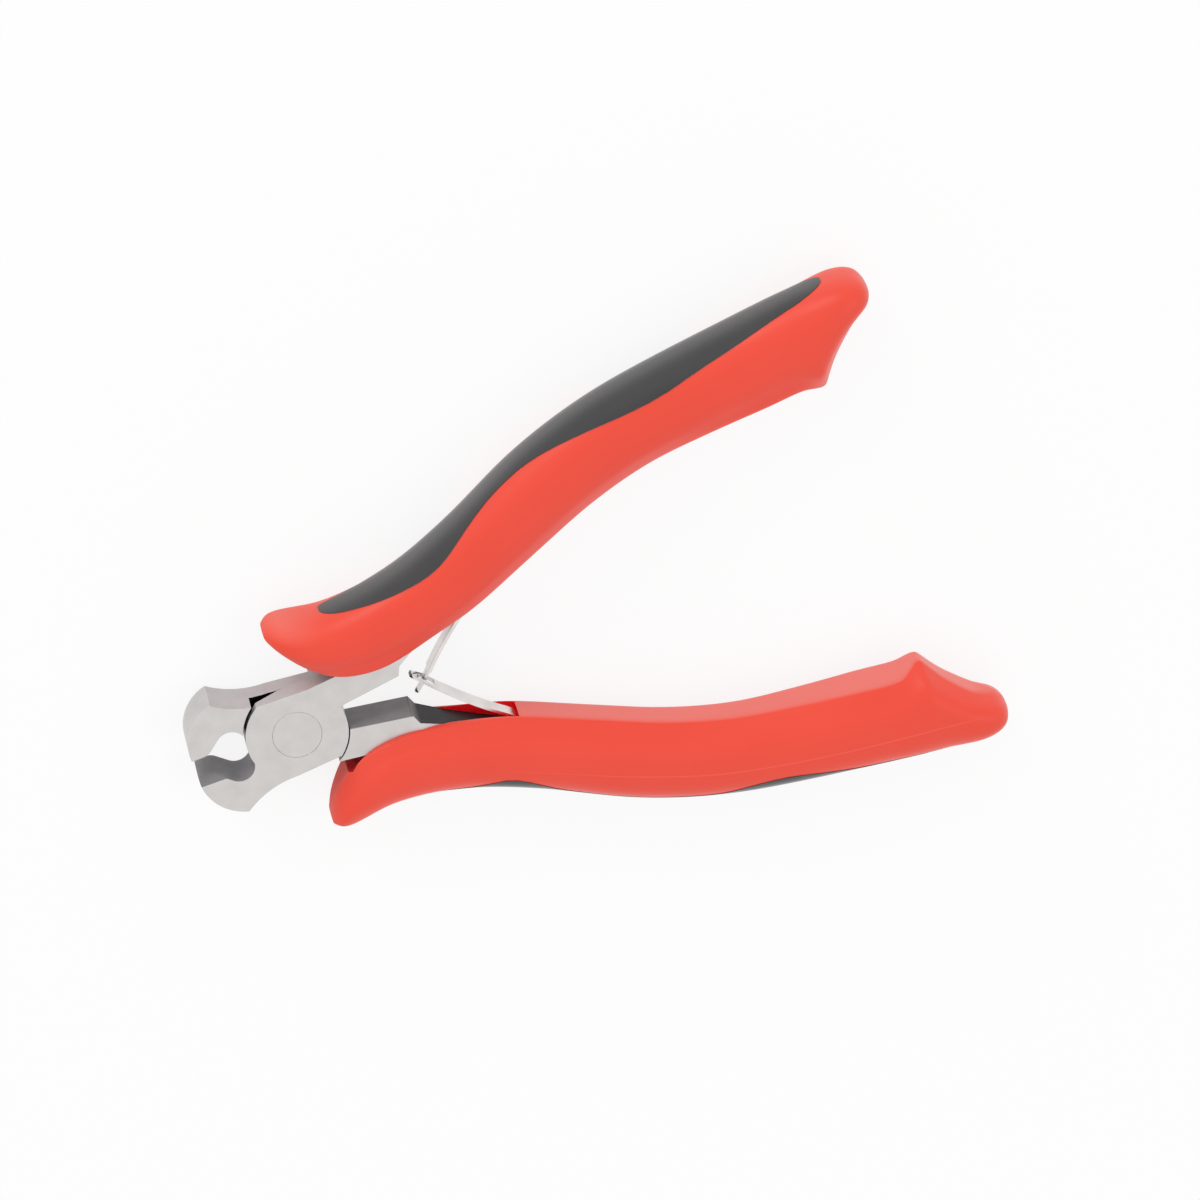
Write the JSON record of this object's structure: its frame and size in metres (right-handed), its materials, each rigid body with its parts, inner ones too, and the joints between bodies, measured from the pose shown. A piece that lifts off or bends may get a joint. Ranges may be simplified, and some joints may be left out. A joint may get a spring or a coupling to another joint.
{
  "type": "end cutting nippers",
  "caption": "Small end cutting nippers: lap-jointed steel jaws with transverse cutting edges, red grips with soft grey inlays and a crossed leaf return spring.",
  "frame": {"origin": "on the axis of the pivot rivet, at the flat underside of the joint", "axes": "+Z along the pivot's axis, +X midway between the handles from the jaws towards the handle ends, +Y towards the upper handle"},
  "size_m": [0.1115, 0.075, 0.0118],
  "materials": {
    "ground_steel": "satin ground, dark oxide on the inner faces",
    "red_grip": "satin moulded",
    "grey_inlay": "matt soft touch",
    "spring_steel": "bright rolled strip"
  },
  "bodies": {
    "lower_half": {"back_lever": "ground_steel", "pivot_rivet": "ground_steel", "lower_grip_shell": "red_grip", "lower_grip_inlay": "grey_inlay", "lower_spring_rivet": "spring_steel"},
    "upper_half": {"front_lever": "ground_steel", "upper_grip_shell": "red_grip", "upper_grip_inlay": "grey_inlay", "upper_spring_rivet": "spring_steel"},
    "lower_leaf": {"lower_leaf_spring": "spring_steel"},
    "upper_leaf": {"upper_leaf_spring": "spring_steel"}
  },
  "joints": [
    {"name": "pivot", "type": "hinge", "parent": "lower_half", "child": "upper_half", "pos_m": [0, 0, 0.0034], "axis": [0, 0, -1], "range_deg": [0, 11.4], "stiffness_Nm_per_rad": 1.2, "springref_deg": -2.86},
    {"name": "lower_leaf_flex", "type": "hinge", "parent": "lower_half", "child": "lower_leaf", "pos_m": [0.0298, -0.01, 0.0034], "axis": [0, 0, 1], "range_deg": [0, 9], "deforming": ["lower_leaf_spring"]},
    {"name": "upper_leaf_flex", "type": "hinge", "parent": "upper_half", "child": "upper_leaf", "pos_m": [0.0298, 0.01, 0.0034], "axis": [0, 0, -1], "range_deg": [0, 9], "deforming": ["upper_leaf_spring"]}
  ],
  "couplings": [
    {"joint": "lower_leaf_flex", "follows": "pivot", "ratio": 0.78},
    {"joint": "upper_leaf_flex", "follows": "pivot", "ratio": 0.78}
  ]
}
